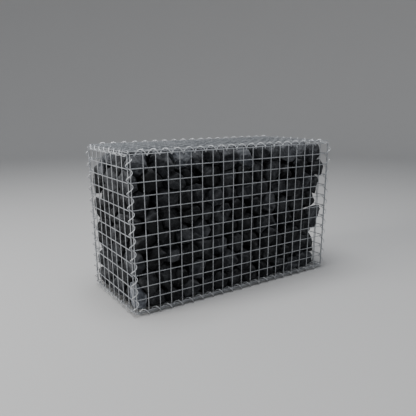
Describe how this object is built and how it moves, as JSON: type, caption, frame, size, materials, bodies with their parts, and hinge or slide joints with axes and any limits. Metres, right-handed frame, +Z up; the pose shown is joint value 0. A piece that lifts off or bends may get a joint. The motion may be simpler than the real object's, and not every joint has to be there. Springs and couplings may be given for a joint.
{
  "type": "gabion wall",
  "caption": "Free-standing gabion wall: galvanised welded mesh basket with lid, laced with spiral binders and filled with broken dark basalt",
  "frame": {"origin": "centre of the footprint, on the level the bottom spirals rest on", "axes": "+X along the wall, +Y from the front mesh towards the back mesh, +Z up"},
  "size_m": [1.0364, 0.4366, 0.6362],
  "materials": {
    "galvanised_wire": "satin",
    "basalt": "matte"
  },
  "bodies": {
    "root": {"front_panel": "galvanised_wire", "back_panel": "galvanised_wire", "left_end_panel": "galvanised_wire", "right_end_panel": "galvanised_wire", "base_panel": "galvanised_wire", "lid_panel": "galvanised_wire", "top_front_spiral": "galvanised_wire", "top_back_spiral": "galvanised_wire", "top_left_spiral": "galvanised_wire", "top_right_spiral": "galvanised_wire", "bottom_front_spiral": "galvanised_wire", "bottom_back_spiral": "galvanised_wire", "bottom_left_spiral": "galvanised_wire", "bottom_right_spiral": "galvanised_wire", "front_left_spiral": "galvanised_wire", "front_right_spiral": "galvanised_wire", "back_left_spiral": "galvanised_wire", "back_right_spiral": "galvanised_wire", "stone_course_1": "basalt", "stone_course_2": "basalt", "stone_course_3": "basalt", "stone_course_4": "basalt", "stone_course_5": "basalt", "stone_course_6": "basalt", "stone_course_7": "basalt", "stone_course_8": "basalt"}
  },
  "joints": []
}
